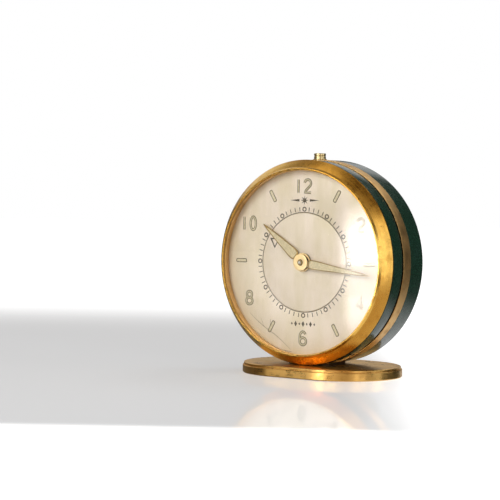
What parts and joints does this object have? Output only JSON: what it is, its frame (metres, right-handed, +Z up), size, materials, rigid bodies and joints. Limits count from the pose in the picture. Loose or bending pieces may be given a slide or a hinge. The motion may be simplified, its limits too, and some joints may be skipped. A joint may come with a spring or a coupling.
{
  "type": "travel alarm clock",
  "caption": "Round brass and green lacquer travel alarm clock on a fixed oval base, with luminous hands, alarm disc, top stop button and folding keys behind.",
  "frame": {"origin": "centre of the underside of the oval base", "axes": "+Z up, the dial looks towards -Y, +X is to the right as the dial is read"},
  "size_m": [0.0604, 0.0348, 0.0654],
  "materials": {
    "aged_brass": "satin",
    "bright_gilt": "polished",
    "band_brass": "satin",
    "green_lacquer": "gloss",
    "crystal_acrylic": "clear",
    "dial_silver": "brushed",
    "gilt_print": "satin",
    "hand_gilt": "satin",
    "movement_brass": "satin",
    "steel": "polished",
    "spring_steel": "satin",
    "holder": "matte"
  },
  "bodies": {
    "case": {"base_plate": "aged_brass", "base_saddle": "aged_brass", "base_screws": "steel", "bezel": "bright_gilt", "crystal": "crystal_acrylic", "rehaut_ring": "band_brass", "front_shell": "green_lacquer", "middle_band": "band_brass", "rear_shell": "green_lacquer", "back_cover": "bright_gilt", "back_cover_screws": "steel", "button_bush": "bright_gilt", "dial": "dial_silver", "hour_numerals": "gilt_print", "hour_batons": "gilt_print", "movement_ring": "holder", "front_plate": "movement_brass", "rear_plate": "movement_brass", "plate_pillars": "movement_brass", "movement_screws": "steel", "wheel_studs": "steel", "balance_cock": "movement_brass", "hairspring": "spring_steel", "gong": "steel"},
    "minute_set": {"minute_hand": "hand_gilt", "cannon_pinion": "movement_brass", "centre_arbor": "steel", "time_knob": "bright_gilt"},
    "hour_set": {"hour_hand": "hand_gilt", "hour_wheel": "movement_brass"},
    "minute_wheel_set": {"minute_wheel": "movement_brass"},
    "alarm_dial_set": {"alarm_disc": "dial_silver", "alarm_pointer": "gilt_print", "alarm_wheel": "movement_brass"},
    "alarm_knob_set": {"alarm_set_arbor": "steel", "alarm_knob": "bright_gilt"},
    "stop_button_set": {"stop_button": "bright_gilt"},
    "stop_lever_set": {"stop_lever": "steel"},
    "going_barrel_set": {"going_barrel": "movement_brass", "going_mainspring": "spring_steel"},
    "going_winder": {"going_arbor": "steel", "going_key": "bright_gilt"},
    "going_bow": {"going_key_bow": "bright_gilt"},
    "alarm_barrel_set": {"alarm_barrel": "movement_brass", "alarm_mainspring": "spring_steel"},
    "alarm_winder": {"alarm_arbor": "steel", "alarm_key": "bright_gilt"},
    "alarm_bow": {"alarm_key_bow": "bright_gilt"},
    "centre_wheel_set": {"centre_wheel": "movement_brass"},
    "third_wheel_set": {"third_wheel": "movement_brass"},
    "fourth_wheel_set": {"fourth_wheel": "movement_brass"},
    "escape_wheel_set": {"escape_wheel": "steel"},
    "pallet_fork_set": {"pallet_fork": "steel"},
    "balance_set": {"balance_wheel": "movement_brass"},
    "regulator_set": {"regulator": "steel"},
    "strike_wheel_set": {"strike_wheel": "steel"},
    "hammer_set": {"alarm_hammer": "steel"}
  },
  "joints": [
    {"name": "minute_turn", "type": "hinge", "parent": "case", "child": "minute_set", "pos_m": [0, -0.0023, 0.0334], "axis": [0, 1, 0], "continuous": true},
    {"name": "hour_turn", "type": "hinge", "parent": "case", "child": "hour_set", "pos_m": [0, -0.0023, 0.0334], "axis": [0, 1, 0], "continuous": true},
    {"name": "minute_wheel_turn", "type": "hinge", "parent": "case", "child": "minute_wheel_set", "pos_m": [0.0025, -0.0023, 0.02907], "axis": [0, 1, 0], "continuous": true},
    {"name": "alarm_dial_turn", "type": "hinge", "parent": "case", "child": "alarm_dial_set", "pos_m": [0, -0.0023, 0.0334], "axis": [0, 1, 0], "continuous": true},
    {"name": "alarm_knob_turn", "type": "hinge", "parent": "case", "child": "alarm_knob_set", "pos_m": [-0.00689, -0.0023, 0.03919], "axis": [0, 1, 0], "continuous": true},
    {"name": "stop_press", "type": "slide", "parent": "case", "child": "stop_button_set", "axis": [0, 0, -1], "range_m": [0, 0.0012], "stiffness_N_per_m": 400},
    {"name": "stop_lever_rock", "type": "hinge", "parent": "case", "child": "stop_lever_set", "pos_m": [-0.006, -0.0023, 0.0519], "axis": [0, 1, 0], "range_deg": [0, 11.5]},
    {"name": "going_wind", "type": "hinge", "parent": "case", "child": "going_winder", "pos_m": [-0.00729, -0.0023, 0.02771], "axis": [0, 1, 0], "continuous": true},
    {"name": "going_bow_fold", "type": "hinge", "parent": "going_winder", "child": "going_bow", "pos_m": [-0.00729, 0.0101, 0.02771], "axis": [1, 0, 0], "range_deg": [0, 90]},
    {"name": "alarm_wind", "type": "hinge", "parent": "case", "child": "alarm_winder", "pos_m": [0.0079, -0.0023, 0.0263], "axis": [0, 1, 0], "continuous": true},
    {"name": "alarm_bow_fold", "type": "hinge", "parent": "alarm_winder", "child": "alarm_bow", "pos_m": [0.0079, 0.0101, 0.0263], "axis": [1, 0, 0], "range_deg": [0, 90]},
    {"name": "fourth_turn", "type": "hinge", "parent": "case", "child": "fourth_wheel_set", "pos_m": [0.00575, -0.0023, 0.04341], "axis": [0, 1, 0], "continuous": true},
    {"name": "third_turn", "type": "hinge", "parent": "case", "child": "third_wheel_set", "pos_m": [0, -0.0023, 0.04132], "axis": [0, 1, 0], "continuous": true},
    {"name": "centre_turn", "type": "hinge", "parent": "case", "child": "centre_wheel_set", "pos_m": [0, -0.0023, 0.0334], "axis": [0, 1, 0], "continuous": true},
    {"name": "going_barrel_turn", "type": "hinge", "parent": "case", "child": "going_barrel_set", "pos_m": [-0.00729, -0.0023, 0.02771], "axis": [0, 1, 0], "continuous": true},
    {"name": "escape_turn", "type": "hinge", "parent": "case", "child": "escape_wheel_set", "pos_m": [0.00856, -0.0023, 0.03855], "axis": [0, 1, 0], "continuous": true},
    {"name": "pallet_rock", "type": "hinge", "parent": "case", "child": "pallet_fork_set", "pos_m": [0.01156, -0.0023, 0.03603], "axis": [0, 1, 0], "range_deg": [-3, 3]},
    {"name": "balance_swing", "type": "hinge", "parent": "case", "child": "balance_set", "pos_m": [0.01509, -0.0023, 0.03307], "axis": [0, 1, 0], "range_deg": [-220, 220]},
    {"name": "regulator_move", "type": "hinge", "parent": "case", "child": "regulator_set", "pos_m": [0.01509, -0.0023, 0.03307], "axis": [0, 1, 0], "range_deg": [-14, 14]},
    {"name": "alarm_barrel_turn", "type": "hinge", "parent": "case", "child": "alarm_barrel_set", "pos_m": [0.0079, -0.0023, 0.0263], "axis": [0, 1, 0], "continuous": true},
    {"name": "strike_wheel_turn", "type": "hinge", "parent": "case", "child": "strike_wheel_set", "pos_m": [0.00295, -0.0023, 0.02135], "axis": [0, 1, 0], "continuous": true},
    {"name": "hammer_swing", "type": "hinge", "parent": "case", "child": "hammer_set", "pos_m": [0.00055, -0.0023, 0.01895], "axis": [0, 1, 0], "range_deg": [-3, 3]}
  ],
  "couplings": [
    {"joint": "hour_turn", "follows": "minute_turn", "ratio": 0.083333},
    {"joint": "minute_wheel_turn", "follows": "minute_turn", "ratio": -0.33333},
    {"joint": "alarm_knob_turn", "follows": "alarm_dial_turn", "ratio": -5},
    {"joint": "stop_lever_rock", "follows": "stop_press", "rad_per_m": 165},
    {"joint": "third_turn", "follows": "centre_turn", "ratio": -8},
    {"joint": "fourth_turn", "follows": "centre_turn", "ratio": 60},
    {"joint": "going_barrel_turn", "follows": "centre_turn", "ratio": -0.15625},
    {"joint": "escape_turn", "follows": "centre_turn", "ratio": -600},
    {"joint": "strike_wheel_turn", "follows": "alarm_barrel_turn", "ratio": -6}
  ]
}
